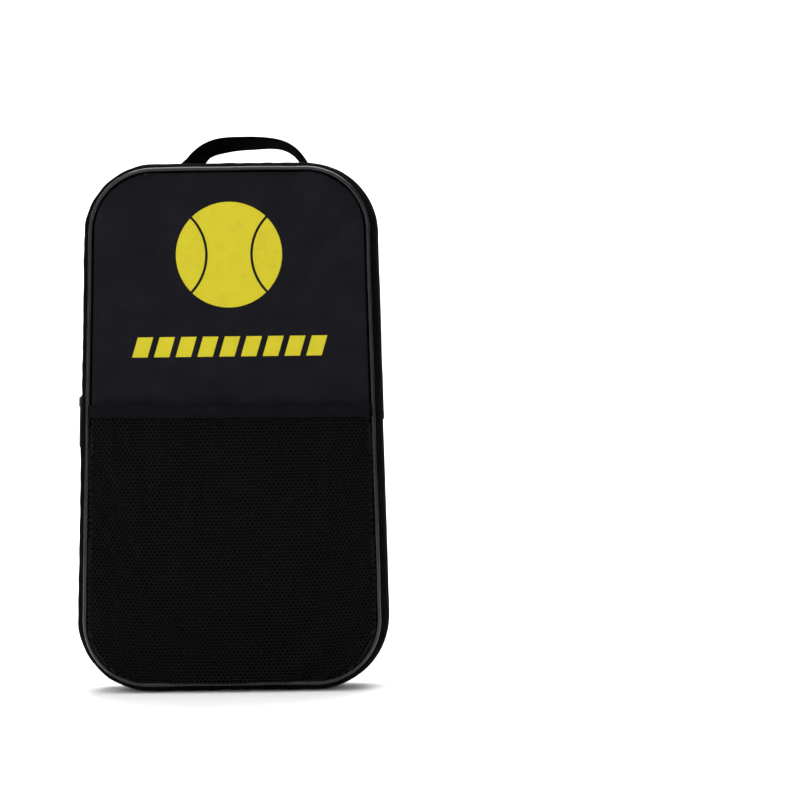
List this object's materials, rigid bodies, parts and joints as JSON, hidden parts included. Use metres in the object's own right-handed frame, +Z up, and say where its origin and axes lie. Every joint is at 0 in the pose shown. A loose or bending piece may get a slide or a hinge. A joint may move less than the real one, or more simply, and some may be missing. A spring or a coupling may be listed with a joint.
{
  "type": "paddle case",
  "caption": "Padded zip-around racket-sport paddle case with a folding front flap, mesh front pocket, top carry handle and adjustable back strap.",
  "frame": {"origin": "centre of the flat base that the case stands on", "axes": "+Z up, the front with the mesh pocket faces -Y, the back strap faces +Y, +X to the viewer's right seen from the front"},
  "size_m": [0.2641, 0.0641, 0.4761],
  "materials": {
    "shell_cloth": "matte woven polyester, close to black",
    "band_cloth": "matte woven polyester",
    "lining_cloth": "plain brushed lining",
    "padding": "closed-cell foam sheet",
    "piping_vinyl": "glossy vinyl",
    "zip_cloth": "woven zip tape",
    "zip_plastic": "nylon coil",
    "slider_metal": "black enamel, satin",
    "mesh_cloth": "knitted mesh with staggered holes",
    "webbing": "flat woven webbing",
    "buckle_plastic": "satin moulded acetal",
    "print_ink": "satin screen print"
  },
  "bodies": {
    "case": {"rear_panel": "shell_cloth", "rear_foam": "padding", "rear_lining": "lining_cloth", "lower_front_panel": "shell_cloth", "lower_front_foam": "padding", "lower_front_lining": "lining_cloth", "lower_band": "band_cloth", "front_band_ends": "band_cloth", "rear_band": "band_cloth", "rear_piping": "piping_vinyl", "lower_front_piping": "piping_vinyl", "rear_seam_binding": "lining_cloth", "lower_seam_binding": "lining_cloth", "rear_zip_tape": "zip_cloth", "zip_tape_ends": "zip_cloth", "rear_zip_teeth": "zip_plastic", "zip_teeth_ends": "zip_plastic", "zip_end_tabs": "band_cloth", "mesh_pocket": "mesh_cloth", "pocket_binding": "webbing", "handle_anchors": "webbing", "upper_strap": "webbing", "lower_strap": "webbing"},
    "flap": {"flap_panel": "shell_cloth", "flap_foam": "padding", "flap_lining": "lining_cloth", "flap_band": "band_cloth", "flap_piping": "piping_vinyl", "flap_seam_binding": "lining_cloth", "flap_zip_tape": "zip_cloth", "flap_zip_teeth": "zip_plastic", "ball_print": "print_ink", "dash_print": "print_ink"},
    "slider": {"zip_slider": "slider_metal"},
    "pull": {"pull_tab": "slider_metal"},
    "handle": {"carry_handle": "webbing"},
    "buckle": {"strap_buckle": "buckle_plastic", "strap_tail": "webbing"}
  },
  "joints": [
    {"name": "flap_open", "type": "hinge", "parent": "case", "child": "flap", "pos_m": [0, -0.0254, 0.254], "axis": [1, 0, 0], "range_deg": [0, 75]},
    {"name": "zip_slide", "type": "slide", "parent": "case", "child": "slider", "axis": [0.0198, 0, 0.9998], "range_m": [0, 0.125]},
    {"name": "pull_swing", "type": "hinge", "parent": "slider", "child": "pull", "pos_m": [-0.13078, 0, 0.24437], "axis": [0, 1, 0], "range_deg": [0, 165]},
    {"name": "handle_tilt", "type": "hinge", "parent": "case", "child": "handle", "pos_m": [0.013, 0.0125, 0.4565], "axis": [1, 0, 0], "range_deg": [-35, 35], "stiffness_Nm_per_rad": 0.02},
    {"name": "buckle_slide", "type": "slide", "parent": "case", "child": "buckle", "axis": [0, 0, 1], "range_m": [-0.03, 0]}
  ]
}
